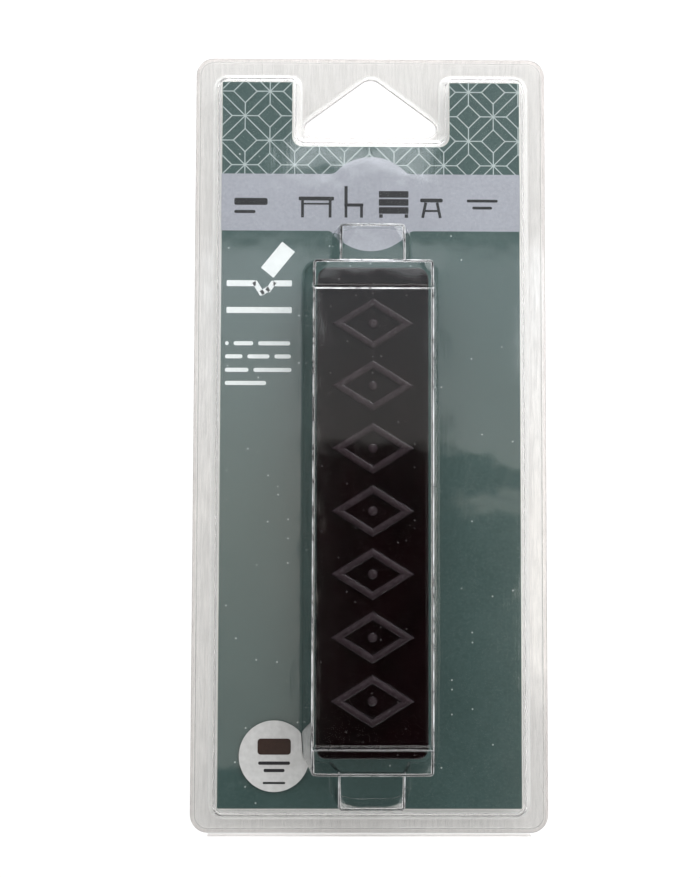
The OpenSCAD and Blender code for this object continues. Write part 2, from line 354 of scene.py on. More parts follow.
class Nodes:
    """Short way to build a node tree."""

    def __init__(self, owner, output="ShaderNodeOutputMaterial"):
        owner.use_nodes = True
        self.owner, self.tree = owner, owner.node_tree
        self.tree.nodes.clear()
        self.out = self.add(output)

    def add(self, kind, **sockets):
        node = self.tree.nodes.new(kind)
        for key, value in sockets.items():
            self.set(node, key.replace("_", " "), value)
        return node

    def set(self, node, key, value):
        if isinstance(value, bpy.types.NodeSocket):
            self.tree.links.new(value, node.inputs[key])
        else:
            node.inputs[key].default_value = value

    def noise(self, scale, detail=3.0, stretch=(1, 1, 1), rough=0.5):
        """Noise over the object's own coordinates, in cycles per millimetre."""
        place = self.add("ShaderNodeTexCoord").outputs["Object"]
        per_metre = [scale / MM * s for s in stretch]
        mapped = self.add("ShaderNodeMapping", Vector=place, Scale=per_metre)
        node = self.add("ShaderNodeTexNoise", Vector=mapped.outputs["Vector"], Scale=1.0)
        node.inputs["Detail"].default_value = detail
        node.inputs["Roughness"].default_value = rough
        return node.outputs["Fac"]

    def specks(self, scale, rare):
        """1 on small round specks in some cells of a net with the given cells per millimetre."""
        place = self.add("ShaderNodeTexCoord").outputs["Object"]
        mapped = self.add("ShaderNodeMapping", Vector=place, Scale=[scale / MM] * 3)
        cells = self.add("ShaderNodeTexVoronoi")
        cells.voronoi_dimensions = "2D"
        self.set(cells, "Vector", mapped.outputs["Vector"])
        self.set(cells, "Scale", 1.0)
        spot = self.ramp(cells.outputs["Distance"], 0.05, 0.10, 1.0, 0.0)
        chosen = self.add("ShaderNodeSeparateColor", Color=cells.outputs["Color"]).outputs["Red"]
        return self.math("MULTIPLY", spot, self.ramp(chosen, rare, rare + 0.02))

    def height(self, low, high):
        """0 below and 1 above a band of heights over the pack's back, in millimetres."""
        place = self.add("ShaderNodeTexCoord").outputs["Object"]
        z = self.add("ShaderNodeSeparateXYZ", Vector=place).outputs["Z"]
        return self.ramp(z, low * MM, high * MM, soft=True)

    def ramp(self, value, low, high, to_low=0.0, to_high=1.0, soft=False):
        node = self.add("ShaderNodeMapRange", Value=value)
        node.interpolation_type = "SMOOTHSTEP" if soft else "LINEAR"
        ends = {"From Min": low, "From Max": high, "To Min": to_low, "To Max": to_high}
        for key, v in ends.items():
            node.inputs[key].default_value = v
        return node.outputs["Result"]

    def tint(self, value, low, high, dark, light):
        """Colour between dark and light as the value goes from low to high."""
        node = self.tree.nodes.new("ShaderNodeMix")
        node.data_type = "RGBA"
        self.tree.links.new(self.ramp(value, low, high), node.inputs[0])
        for key, colour in ((6, dark), (7, light)):  # the colour sockets A and B
            if isinstance(colour, bpy.types.NodeSocket):
                self.tree.links.new(colour, node.inputs[key])
            else:
                node.inputs[key].default_value = (*colour, 1)
        return node.outputs[2]

    def bump(self, height, strength, distance, normal=None):
        node = self.add("ShaderNodeBump", Height=height, Strength=strength, Distance=distance * MM)
        if normal is not None:
            self.tree.links.new(normal, node.inputs["Normal"])
        return node.outputs["Normal"]

    def math(self, kind, a, b):
        node = self.tree.nodes.new("ShaderNodeMath")
        node.operation = kind
        for i, v in enumerate((a, b)):
            if isinstance(v, bpy.types.NodeSocket):
                self.tree.links.new(v, node.inputs[i])
            else:
                node.inputs[i].default_value = v
        return node.outputs[0]

    def surface(self, shader):
        self.tree.links.new(shader, self.out.inputs["Surface"])
        return self.owner


def paint(name):
    return Nodes(bpy.data.materials.new(name))


def clear_sheet(name, tint, clarity=(1.0, 1.0), rough=(0.02, 0.09), drawn=0.0, streaky=True):
    """Clear formed plastic: wavy, with fine streaks and faint scuffs, and dulled to a milky white
    in patches where its two clarities differ, which paints highlight lines.

    Drawn is how much darker its draw lines are. Shadows and diffuse light pass straight through.
    """
    t = paint(name)
    waves = t.noise(0.06, 2.0)
    normal = t.bump(waves, 0.20, 0.6)
    if streaky:
        normal = t.bump(t.noise(1.6, 2.0, (1, 0.03, 1)), 0.10, 0.05, normal)
    scuffs = t.noise(0.35, 5.0, (1, 0.4, 1), 0.7)
    plastic = t.add("ShaderNodeBsdfPrincipled")
    if drawn:
        dim = [c * (1 - drawn) for c in tint]
        lines = t.noise(2.4, 3.0, (1, 0.07, 1))
        t.set(plastic, "Base Color", t.tint(lines, 0.35, 0.65, dim, tint))
    else:
        plastic.inputs["Base Color"].default_value = (*tint, 1)
    plastic.inputs["IOR"].default_value = 1.5
    if clarity[0] != clarity[1]:
        blotch = t.noise(0.22, 4.0, (1, 1, 1), 0.65)
        patches = t.math("ADD", blotch, t.math("MULTIPLY", scuffs, 0.5))
        t.set(plastic, "Transmission Weight", t.ramp(patches, 0.6, 0.95, *clarity))
    else:
        plastic.inputs["Transmission Weight"].default_value = clarity[0]
    t.set(plastic, "Roughness", t.ramp(scuffs, 0.45, 0.75, *rough))
    t.set(plastic, "Normal", normal)
    clear = t.add("ShaderNodeBsdfTransparent")
    clear.inputs["Color"].default_value = (0.93, 0.94, 0.94, 1)
    path = t.add("ShaderNodeLightPath")
    passes = t.math("MAXIMUM", path.outputs["Is Shadow Ray"], path.outputs["Is Diffuse Ray"])
    mix = t.add("ShaderNodeMixShader")
    t.tree.links.new(passes, mix.inputs[0])
    t.tree.links.new(plastic.outputs[0], mix.inputs[1])
    t.tree.links.new(clear.outputs[0], mix.inputs[2])
    return t.surface(mix.outputs[0])


def ink(name, dark, light, rough, grain=0.9, dust=None):
    """Printed or plain board: fine mottle in its colour, a slight tooth, and specks of dust."""
    t = paint(name)
    mottle = t.noise(grain, 4.0)
    cloud = t.noise(0.05, 2.0)
    fine, broad = t.ramp(mottle, 0.32, 0.68, 0.0, 0.7), t.ramp(cloud, 0.3, 0.7, 0.0, 0.3)
    board = t.add("ShaderNodeBsdfPrincipled")
    colour = t.tint(t.math("ADD", fine, broad), 0.0, 1.0, dark, light)
    if dust:
        colour = t.tint(t.specks(0.35, 0.93), 0.0, 1.0, colour, dust)
    t.set(board, "Base Color", colour)
    t.set(board, "Roughness", t.ramp(mottle, 0.2, 0.8, rough - 0.06, rough + 0.06))
    t.set(board, "Normal", t.bump(mottle, 0.12, 0.03))
    return t.surface(board.outputs[0])


def wax(name):
    """Cast wax: near black brown with bloom, flow marks, scuffs and dust; its raised crests are
    painted paler, a painted highlight.
    """
    t = paint(name)
    bloom = t.noise(0.12, 6.0, (1, 0.6, 1), 0.65)
    fine = t.noise(1.4, 5.0, (1, 1, 1), 0.6)
    scratch = t.noise(0.9, 3.0, (0.25, 2.0, 1), 0.6)
    slow = t.noise(0.15, 1.0)
    raised_highlight_mask = t.height(STICK_TOP + 0.15, STICK_TOP + 0.75)
    crest = t.math("MULTIPLY", raised_highlight_mask, t.ramp(bloom, 0.2, 0.7, 0.5, 1.0))
    base = t.tint(bloom, 0.35, 0.75, (0.0010, 0.0001, 0.0002), (0.0046, 0.0007, 0.0013))
    # Paler colour on the raised crests: painted highlight.
    base = t.tint(crest, 0.0, 1.0, base, (0.029, 0.019, 0.023))
    base = t.tint(scratch, 0.70, 0.84, base, (0.014, 0.009, 0.010))
    base = t.tint(t.specks(0.45, 0.93), 0.0, 1.0, base, (0.10, 0.09, 0.09))
    rough = t.math("ADD", t.ramp(fine, 0.3, 0.75, 0.13, 0.22), t.math("MULTIPLY", crest, 0.12))
    body = t.add("ShaderNodeBsdfPrincipled")
    t.set(body, "Base Color", base)
    t.set(body, "Roughness", rough)
    body.inputs["IOR"].default_value = 1.44
    body.inputs["Specular IOR Level"].default_value = 0.3
    t.set(body, "Normal", t.bump(fine, 0.10, 0.04, t.bump(slow, 0.15, 0.4)))
    return t.surface(body.outputs[0])


front_clear = clear_sheet("clear_front_sheet", (0.97, 0.98, 0.98))
back_clear = clear_sheet("clear_back_sheet", (0.96, 0.955, 0.95))
# Milky sheet on the rounded edges of the tray and tabs: painted highlight lines.
edge_highlight_sheet = clear_sheet("clear_painted_edge_highlight", (0.94, 0.96, 0.98), (0.96, 0.15), (0.10, 0.20))
# Slightly milky sheet on the window's slope ring, the back's step and the hole's bevel: painted
# highlight bands on these bends.
slope_highlight_sheet = clear_sheet(
    "clear_slope_painted_highlight", (0.94, 0.935, 0.93), (0.84, 0.84), (0.12, 0.20), streaky=False
)
# Flange sheet tinted greyer than the rest of the front: painted shade that darkens the border. Its
# darker draw lines are the sheet's own streaks.
flange_shaded_sheet = clear_sheet("clear_flange_painted_shade", (0.90, 0.887, 0.882), rough=(0.03, 0.12), drawn=0.16)
# Dark grey sheet along the cut edges of the flange, its lip and the hole: painted dark outline
# lines.
cut_edge_outline_sheet = clear_sheet(
    "clear_cut_edge_painted_outline", (0.50, 0.485, 0.485), (0.92, 0.92), (0.08, 0.16), streaky=False
)
green = ink(
    "green_print", (0.029, 0.060, 0.056), (0.054, 0.094, 0.090), 0.42, 1.5, (0.46, 0.50, 0.49)
)
board = ink("card_board", (0.52, 0.50, 0.46), (0.66, 0.64, 0.60), 0.8)
silver = ink("silver_print", (0.295, 0.30, 0.337), (0.36, 0.366, 0.415), 0.38, 1.3)
lattice_ink = ink("lattice_print", (0.33, 0.375, 0.375), (0.43, 0.48, 0.48), 0.40)
white = ink("white_print", (0.68, 0.70, 0.70), (0.78, 0.80, 0.80), 0.45)
black = ink("black_print", (0.008, 0.008, 0.010), (0.016, 0.016, 0.018), 0.45)
label_paper = ink("label_paper", (0.46, 0.46, 0.455), (0.57, 0.57, 0.565), 0.35, 0.6)
sample = ink("shade_sample", (0.022, 0.010, 0.007), (0.034, 0.016, 0.011), 0.45)
wax_brown = wax("wax_dark_brown")


# Clear shells

def wall_arcs(top, foot, r_top, r_foot):
    """Distances from a drafted wall's front outline at which its roundings begin and end."""
    half = math.tan((math.pi / 2 - DRAFT) / 2)
    run = (top - foot) * math.tan(DRAFT)
    return r_top * half, run + r_foot * half


def wall_height(d, top, foot, r_top, r_foot):
    """Height of a drafted, rounded wall at a distance outside its front outline."""
    inner, outer = wall_arcs(top, foot, r_top, r_foot)
    reach = math.cos(DRAFT)
    crest = top - r_top + np.sqrt(np.clip(r_top**2 - (d + inner) ** 2, 0, None))
    hollow = foot + r_foot - np.sqrt(np.clip(r_foot**2 - (d - outer) ** 2, 0, None))
    return np.select(
        [d <= -inner, d < -inner + r_top * reach, d < outer - r_foot * reach, d < outer],
        [top, crest, top - d / math.tan(DRAFT), hollow],
        foot,
    )


def wall_lines(top, foot, r_top, r_foot, steps=9, wall_steps=9):
    """Distances at which a grid follows a drafted, rounded wall."""
    inner, outer = wall_arcs(top, foot, r_top, r_foot)
    angles = np.linspace(0, math.pi / 2 - DRAFT, steps)
    crest = -inner + r_top * np.sin(angles)
    hollow = (outer - r_foot * np.sin(angles))[::-1]
    wall = np.linspace(crest[-1], hollow[0], wall_steps + 2)[1:-1]
    return np.concatenate((crest, wall, hollow))


def box_distance(x, y, half, r):
    """Signed distance outside a rounded rectangle about the tray's middle."""
    qx, qy = np.abs(x) - half[0] + r, np.abs(y - TRAY_Y) - half[1] + r
    out = np.hypot(np.clip(qx, 0, None), np.clip(qy, 0, None))
    return out + np.minimum(np.maximum(qx, qy), 0) - r


HIGHLIGHT_BAND = (-0.26, 0.10)  # where the painted highlight along a rounding begins and ends, outside a front outline
CREST_R, HOLLOW_R, LEAST_R = 0.9, 0.6, 0.7
FIELD_HALF = (21.0, 81.2)


def tray_field(depth):
    """Height, grid lines and places of painted highlight on the tray and tabs, at a depth below the
    outside.
    """
    wall = depth / math.cos(DRAFT)
    tray_half = [h - wall for h in TRAY_HALF]
    tab_half = [h - wall for h in TAB_HALF]
    foot = WINDOW_Z - depth
    crest, hollow = CREST_R - depth, HOLLOW_R + depth
    tray = (TRAY_Z - depth, foot, crest, hollow)
    tab = (TAB_Z - depth, foot, crest, hollow)

    def height(x, y):
        a = wall_height(box_distance(x, y, tray_half, max(TRAY_R - depth, LEAST_R)), *tray)
        b = wall_height(box_distance(x, y, tab_half, max(TAB_R - depth, LEAST_R)), *tab)
        blend = 1.4 * np.clip((np.minimum(a, b) - foot) / 1.5, 0, 1) + 1e-6
        near = np.clip(blend - np.abs(a - b), 0, None)
        z = np.maximum(a, b) + near**2 / (4 * blend)
        off = np.abs(np.abs(y - TRAY_Y) - GROOVE_OFF) / GROOVE_HALF
        groove = GROOVE_DEPTH * (0.5 + 0.5 * np.cos(np.pi * np.clip(off, 0, 1)))
        return np.minimum(z, tray[0] - groove)

    def highlight_at(x, y):
        """Painted highlight along the rounded edges and the upper groove's lip, else clear sheet.
        """
        d_tray = box_distance(x, y, tray_half, TRAY_R)
        d_tab = box_distance(x, y, tab_half, TAB_R)
        on_tray = (d_tray > HIGHLIGHT_BAND[0]) & (d_tray < HIGHLIGHT_BAND[1])
        on_tab = (d_tab > HIGHLIGHT_BAND[0]) & (d_tab < HIGHLIGHT_BAND[1]) & (d_tray > 0.6)
        on_lip = np.abs(y - TRAY_Y + GROOVE_HALF * 0.55 - GROOVE_OFF) < 0.26
        highlighted = on_tray | on_tab | (on_lip & (d_tray < 0))
        return np.where(highlighted, HIGHLIGHT_EDGE, CLEAR)

    tray_lines, tab_lines = wall_lines(*tray), wall_lines(*tab)
    meet = tray_half[1] + (TRAY_Z - TAB_Z) * math.tan(DRAFT)
    x_side = np.concatenate((tray_half[0] + tray_lines, tab_half[0] + tab_lines, [4.0]))
    y_side = np.concatenate((
        tray_half[1] + tray_lines,
        tab_half[1] + tab_lines,
        meet + np.array((-0.3, -0.18, -0.08, 0.0, 0.08, 0.18, 0.3, 0.45, 0.6, 0.8)),
        GROOVE_OFF + GROOVE_HALF * np.linspace(-1, 1, 15),
        [20.0, 40.0],
    ))

    def both_ways(side, end):
        lines = np.concatenate((-side, [0.0], side, [-end, end]))
        return np.unique(np.round(lines, 4))

    xs, ys = both_ways(x_side, FIELD_HALF[0]), both_ways(y_side, FIELD_HALF[1])
    return height, xs, ys + TRAY_Y, highlight_at


def rim_of(xs, ys):
    """The border points of a grid, anticlockwise."""
    low = [(x, ys[0]) for x in xs[:-1]]
    right = [(xs[-1], y) for y in ys[:-1]]
    high = [(x, ys[-1]) for x in xs[:0:-1]]
    left = [(xs[0], y) for y in ys[:0:-1]]
    return np.array(low + right + high + left)


LIP_W, LIP_DEPTH, LIP_RUN, BACK_LIP_RUN = 1.2, 0.14, 0.2, 0.3

# Insets from the pack's edge, or distances from the hole, at which rounded rings meet flat sheet
EDGE_OUT, EDGE_SEAM = 2.2, 0.8
HOLE_SEAM, HOLE_FRONT, HOLE_BACK = 0.4, 1.05, 0.45
FRONT_RING = (4.9, 7.6)
BACK_RING, BACK_UNDER_RING = (5.3, 8.0), (5.0, 8.4)

# Finishes of the front sheet, of the back sheet and of the card
CLEAR, HIGHLIGHT_EDGE, SLOPE_HIGHLIGHT, FLANGE_SHADED, CUT_OUTLINE = range(5)
BACK_SLOPE_HIGHLIGHT = 1
PRINTED, PLAIN = 0, 1


def lip_height(loop, z):
    """No crushed lip along the fold: brings its height back to the flange there."""
    share = np.clip((loop[:, 1] - FLANGE_LOW_Y - 1.5) / 3.0, 0, 1)
    return np.where(z > FLANGE_Z - LIP_DEPTH - 0.01, FLANGE_Z - (FLANGE_Z - z) * share, z)


def make_front():
    """Front sheet: flange with a crushed lip, hole, sloped ring, window, tray and tabs."""
    s = Solid()
    low_z = SEAM_Z + SEAM_GAP
    lip_z = FLANGE_Z - LIP_DEPTH
    under_foot = FLANGE_W + SLOPE_WALL + (low_z - FLANGE_Z) * SLOPE_RATE
    under_top = FLANGE_W + SLOPE_WALL + (WINDOW_Z - SHEET - FLANGE_Z) * SLOPE_RATE
    ring_out, ring_in = FRONT_RING

    def edge_finish(d):
        return CUT_OUTLINE if d < 0.26 or abs(d - LIP_W - LIP_RUN / 2) < 0.14 else FLANGE_SHADED

    edge = rounded(
        [
            (EDGE_SEAM, low_z), (0, low_z), (0, lip_z),
            (LIP_W, lip_z), (LIP_W + LIP_RUN, FLANGE_Z), (EDGE_OUT, FLANGE_Z),
        ],
        [0.06, 0.25, 0.14, 0.14], 4,
    )
    s.loft(pack_loop, edge, edge_finish, lip_height)
    hole_edge = rounded(
        [
            (HOLE_SEAM, low_z), (0, low_z), (0, lip_z),
            (0.35, lip_z), (0.75, FLANGE_Z), (HOLE_FRONT, FLANGE_Z),
        ],
        [0.08, 0.12, 0.12, 0.12], 4,
    )
    s.loft(hole_loop, hole_edge, lambda d: CUT_OUTLINE if d < 0.05 else SLOPE_HIGHLIGHT)
    slope = rounded(
        [
            (ring_out, FLANGE_Z), (FLANGE_W, FLANGE_Z),
            (FLANGE_W + SLOPE_RUN, WINDOW_Z), (ring_in, WINDOW_Z),
        ],
        [0.6, 1.2], 8,
    )
    s.loft(window_loop, slope, SLOPE_HIGHLIGHT)
    under = rounded(
        [
            (ring_out, low_z), (under_foot, low_z),
            (under_top, WINDOW_Z - SHEET), (ring_in, WINDOW_Z - SHEET),
        ],
        [1.1, 0.7], 8,
    )
    s.loft(window_loop, (under[0], -under[1]))
    ring = window_loop(ring_out)[0]
    s.fill(pack_loop(EDGE_OUT)[0], [ring, hole_loop(HOLE_FRONT)[0]], FLANGE_Z, 1, FLANGE_SHADED)
    s.fill(pack_loop(EDGE_SEAM)[0], [ring, hole_loop(HOLE_SEAM)[0]], low_z, -1)
    for depth, up in ((0.0, 1), (SHEET, -1)):
        height, xs, ys, highlight_at = tray_field(depth)
        s.field(xs, ys, height, up, highlight_at if up > 0 else None)
        s.fill(window_loop(ring_in)[0], [rim_of(xs, ys)], WINDOW_Z - depth, up)
    finishes = [front_clear, edge_highlight_sheet, slope_highlight_sheet, flange_shaded_sheet, cut_edge_outline_sheet]
    return s.piece("clear_front", "front", finishes, "front_sheet", "front_shell")


def make_back():
    """Back sheet: flange with a crushed lip, hole, and the raised panel that carries the card."""
    s = Solid()
    high_z = SEAM_Z - SEAM_GAP
    panel_z = CARD_Z - 0.03
    lip_z = LIP_DEPTH
    edge = rounded(
        [
            (EDGE_OUT, 0), (LIP_W + BACK_LIP_RUN, 0), (LIP_W, lip_z),
            (0, lip_z), (0, high_z), (EDGE_SEAM, high_z),
        ],
        [0.25, 0.25, 0.12, 0.08], 4,
    )
    s.loft(pack_loop, edge)
    hole_edge = rounded(
        [
            (HOLE_BACK, 0), (0.34, 0), (0.22, lip_z),
            (0, lip_z), (0, high_z), (HOLE_SEAM, high_z),
        ],
        [0.08, 0.08, 0.12, 0.08], 4,
    )
    s.loft(hole_loop, hole_edge)

    def plug(z):
        """Inset of the panel's wall at a height, which nests in the front's slope."""
        return FLANGE_W + SLOPE_WALL + NEST_GAP + (z - FLANGE_Z) * SLOPE_RATE

    ring_out, ring_in = BACK_RING
    step = rounded(
        [(ring_out, high_z), (plug(high_z), high_z), (plug(panel_z), panel_z), (ring_in, panel_z)],
        [0.3, 0.9], 6,
    )
    s.loft(window_loop, step, BACK_SLOPE_HIGHLIGHT)
    s.fill(pack_loop(EDGE_SEAM)[0], [window_loop(ring_out)[0], hole_loop(HOLE_SEAM)[0]], high_z)
    s.fill(window_loop(ring_in)[0], [], panel_z)
    low = panel_z - SHEET
    ring_out, ring_in = BACK_UNDER_RING
    under = rounded(
        [(ring_out, 0), (plug(0) + SLOPE_WALL, 0), (plug(low) + SLOPE_WALL, low), (ring_in, low)],
        [0.8, 0.4], 6,
    )
    s.loft(window_loop, (under[0], -under[1]))
    s.fill(pack_loop(EDGE_OUT)[0], [window_loop(ring_out)[0], hole_loop(HOLE_BACK)[0]], 0.0, -1)
    s.fill(window_loop(ring_in)[0], [], low, -1)
    return s.piece("clear_back", "back", [back_clear, slope_highlight_sheet], "rear_sheet", "rear_shell")


def make_fold():
    """Half round of sheet along the bottom edge."""
    s = Solid()
    steps, inner = 12, 0.06
    angles = np.linspace(math.pi / 2, 3 * math.pi / 2, steps + 1)
    ends = np.linspace(-FOLD_L / 2, FOLD_L / 2, 19)

    def spot(x, r, a):
        return (x, FOLD_Y + r * math.cos(a), SEAM_Z + r * math.sin(a))

    for a, b in zip(angles, angles[1:]):
        for x0, x1 in zip(ends, ends[1:]):
            for r, sign in ((FOLD_R, 1), (inner, -1)):
                n = [(0, sign * math.cos(t), sign * math.sin(t)) for t in (a, a, b, b)]
                s.face([spot(x0, r, a), spot(x1, r, a), spot(x1, r, b), spot(x0, r, b)], n)
        for x, way in ((ends[0], -1), (ends[-1], 1)):
            corners = [spot(x, r, t) for r, t in ((FOLD_R, a), (FOLD_R, b), (inner, b), (inner, a))]
            s.face(corners, [(way, 0, 0)] * 4)
    for a in (angles[0], angles[-1]):
        for x0, x1 in zip(ends, ends[1:]):
            ring = ((x0, inner), (x1, inner), (x1, FOLD_R), (x0, FOLD_R))
            s.face([spot(x, r, a) for x, r in ring], [(0, 1, 0)] * 4)
    piece = s.piece("fold_strip", None, [back_clear], "rear_sheet")
    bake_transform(piece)
    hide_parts("hinge_fold")
    return piece


# Card and its print

def card_loop(inset):
    """Outline of the card at an inset from its edge."""
    return notched_loop(
        CARD_X - inset, CARD_LOW + inset, CARD_HIGH - inset,
        CARD_CUT_X + inset, CARD_CUT_Y - inset,
        (CARD_R - inset, CARD_R - inset, CARD_CUT_R + inset),
    )


def make_card():
    """Board with a printed face and plain edges and back."""
    s = Solid()
    rim = 0.15
    edge = rounded([(rim, CARD_Z), (0, CARD_Z), (0, CARD_TOP), (rim, CARD_TOP)], [0.05, 0.05], 3)
    s.loft(card_loop, edge, PLAIN)
    s.fill(card_loop(rim)[0], [], CARD_TOP, 1, PRINTED)
    s.fill(card_loop(rim)[0], [], CARD_Z, -1, PLAIN)
    return s.piece("card_board", "back", [green, board], "card", "insert_card")


INK = 0.012  # height of one layer of print


def clipped(polygon, window):
    """Part of a polygon inside a convex anticlockwise window."""
    out = [np.array(p, float) for p in polygon]
    for a, b in zip(window, np.roll(window, -1, axis=0)):
        along = b - a
        kept = []
        for p, q in zip(out, out[1:] + out[:1]):
            dp = along[0] * (p[1] - a[1]) - along[1] * (p[0] - a[0])
            dq = along[0] * (q[1] - a[1]) - along[1] * (q[0] - a[0])
            if dp >= 0:
                kept.append(p)
            if (dp >= 0) != (dq >= 0):
                kept.append(p + (q - p) * dp / (dp - dq))
        out = kept
        if len(out) < 3:
            return []
    return out


def stroke(a, b, width, cap=0.0):
    """Corners of a straight line of ink."""
    a, b = np.array(a, float), np.array(b, float)
    along = unit(b - a)
    side = np.array((-along[1], along[0])) * width / 2
    a, b = a - along * cap, b + along * cap
    return [a - side, b - side, b + side, a + side]


def bar(x0, x1, y, height, r=None):
    """Outline of a round-ended bar of ink."""
    h = height / 2
    corners = [(x0, y - h), (x1, y - h), (x1, y + h), (x0, y + h)]
    return rounded(corners, [r or h * 0.9] * 4, 4, True)[0]


BAND_LOW, BAND_HIGH = 59.6, 75.85
MEDAL_Y, MEDAL_R, MEDAL_FILLET = 67.3, 13.45, 3.0
LATTICE_PITCH, LATTICE_AT, LATTICE_W = 7.05, (-35.7, 92.5), 0.29
DIAMOND = 0.47  # half width of a diamond in pitches


def make_lattice():
    """Trellis of linked diamonds over the top of the card."""
    s = Solid()
    m = 0.06  # margin to the card's edge
    left = rounded(
        [
            (-CARD_X + m, CARD_CUT_Y), (-CARD_CUT_X - m, CARD_CUT_Y),
            (-CARD_CUT_X - m, CARD_HIGH - m), (-CARD_X + m, CARD_HIGH - m),
        ],
        [0.02, 0.02, 0.2, 0.2], 4, True,
    )[0]
    right = left[::-1] * (-1, 1)
    low = np.array([
        (-CARD_X + m, BAND_HIGH - 0.2), (CARD_X - m, BAND_HIGH - 0.2),
        (CARD_X - m, CARD_CUT_Y), (-CARD_X + m, CARD_CUT_Y),
    ])
    lines = []
    for i in range(-3, 14):
        for j in range(-4, 4):
            x, y = LATTICE_AT[0] + i * LATTICE_PITCH, LATTICE_AT[1] + j * LATTICE_PITCH
            p = LATTICE_PITCH
            d = DIAMOND * p
            if (i + j) % 2 == 0:
                for sx, sy in ((1, 1), (1, -1)):
                    lines.append(((x, y), (x + sx * p, y + sy * p)))
                for sx, sy in ((1, 0), (-1, 0), (0, 1), (0, -1)):
                    lines.append(((x, y), (x + sx * (p - d), y + sy * (p - d))))
            else:
                tips = [(x + d, y), (x, y + d), (x - d, y), (x, y - d)]
                lines += list(zip(tips, tips[1:] + tips[:1]))
    for n, (a, b) in enumerate(lines):
        quad = stroke(a, b, LATTICE_W, 0.15)
        z = CARD_TOP + INK * (1 + 0.02 * (n % 7))  # lines that cross aren't level
        for window in (left, right, low):
            part = clipped(quad, window)
            if len(part) >= 3:
                s.face([(*p, z) for p in part], [(0, 0, 1)] * len(part))
    return s.piece("card_lattice", "back", [lattice_ink], "card")


def arc(middle, radius, start, end, steps):
    """Points along an arc, with its angles in radians."""
    return [
        (middle[0] + radius * math.cos(a), middle[1] + radius * math.sin(a))
        for a in np.linspace(start, end, steps + 1)
    ]


def band_outline():
    """Band across the card that swells to a medallion in its middle, with hollow corners."""
    pi = math.pi
    edge = CARD_X - 0.02
    points = [(-edge, BAND_LOW)]
    for up, level in ((-1, BAND_LOW), (1, BAND_HIGH)):
        y = level + up * MEDAL_FILLET
        reach = math.sqrt((MEDAL_R + MEDAL_FILLET) ** 2 - (y - MEDAL_Y) ** 2)
        lean = math.atan2(abs(y - MEDAL_Y), reach)
        first, last = (-reach, y), (reach, y)
        if up < 0:
            points += arc(first, MEDAL_FILLET, pi / 2, lean, 8)
            points += arc((0, MEDAL_Y), MEDAL_R, pi + lean, 2 * pi - lean, 32)[1:-1]
            points += arc(last, MEDAL_FILLET, pi - lean, pi / 2, 8)
            points += [(edge, BAND_LOW), (edge, BAND_HIGH)]
        else:
            points += arc(last, MEDAL_FILLET, 3 * pi / 2, pi + lean, 8)
            points += arc((0, MEDAL_Y), MEDAL_R, lean, pi - lean, 32)[1:-1]
            points += arc(first, MEDAL_FILLET, 2 * pi - lean, 3 * pi / 2, 8)
    return points + [(-edge, BAND_HIGH)]


def make_band():
    """Silver band across the card."""
    s = Solid()
    s.plate(band_outline(), CARD_TOP, CARD_TOP + 2 * INK)
    return s.piece("card_band", "back", [silver], "card")


def add_ink(s, loop, level=1):
    """One shape of print, on the given layer of ink."""
    s.plate(loop, CARD_TOP + (level - 1) * INK, CARD_TOP + level * INK)


def make_white_print():
    """Plain white picture of a stick laid over a crack in a board, and plain rows below it."""
    s = Solid()
    for loop in (
        bar(-40.6, -22.2, 37.0, 1.7, 0.3),
        bar(-40.6, -32.4, 44.6, 1.7, 0.3),
        bar(-27.4, -22.2, 44.6, 1.7, 0.3),
        stroke((-32.6, 44.8), (-30.6, 41.6), 1.5, 0.3),
        stroke((-30.6, 41.9), (-28.9, 43.0), 1.5, 0.3),
        stroke((-28.9, 42.6), (-27.4, 44.8), 1.5, 0.3),
        stroke((-29.2, 47.6), (-23.2, 55.0), 4.6),
    ):
        add_ink(s, loop)
    rows = [
        (27.6, [(-40.9, -39.9), (-38.5, -33.0), (-31.6, -22.6)]),
        (23.9, [(-40.9, -36.0), (-34.6, -28.4), (-27.0, -22.4)]),
        (20.1, [(-40.9, -34.3), (-32.9, -22.2)]),
        (16.4, [(-40.9, -29.3)]),
    ]
    for y, words in rows:
        for x0, x1 in words:
            add_ink(s, bar(x0, x1, y, 1.15))
    return s.piece("card_white_print", "back", [white], "card")


def make_black_print():
    """Plain black pictures of furniture in a row on the band, with plain rows at both sides."""
    s = Solid()
    level = 3
    base = 63.4

    def legs(xs, low, high, w=0.8):
        for x in xs:
            add_ink(s, stroke((x, low), (x, high), w), level)

    # table
    add_ink(s, bar(-20.4, -10.4, base + 5.4, 1.1, 0.3), level)
    legs((-19.3, -11.5), base, base + 4.85)
    add_ink(s, stroke((-18.9, base + 3.9), (-11.9, base + 3.9), 0.5), level)
    # chair
    legs((-7.0, -2.6), base, base + 3.6)
    add_ink(s, bar(-7.5, -2.1, base + 3.6, 0.9, 0.25), level)
    add_ink(s, stroke((-7.0, base + 4.05), (-7.0, base + 9.0), 0.9), level)
    # chest of drawers
    legs((2.9, 10.1), base, base + 1.0, 1.0)
    for k in range(3):
        add_ink(s, bar(2.3, 10.7, base + 2.1 + 2.3 * k, 1.9, 0.25), level)
    # stool
    add_ink(s, bar(14.0, 20.4, base + 5.0, 1.1, 0.4), level)
    add_ink(s, stroke((15.6, base + 4.4), (14.7, base), 0.8), level)
    add_ink(s, stroke((18.8, base + 4.4), (19.7, base), 0.8), level)
    add_ink(s, stroke((15.3, base + 2.0), (19.1, base + 2.0), 0.6), level)
    # rows at the sides
    add_ink(s, bar(-38.6, -29.2, 67.9, 2.0, 0.5), level)
    add_ink(s, bar(-38.6, -32.6, 65.0, 0.9), level)
    add_ink(s, bar(27.2, 36.0, 68.3, 0.8), level)
    add_ink(s, bar(28.8, 34.4, 66.3, 0.8), level)
    return s.piece("card_black_print", "back", [black], "card")


# Wax stick

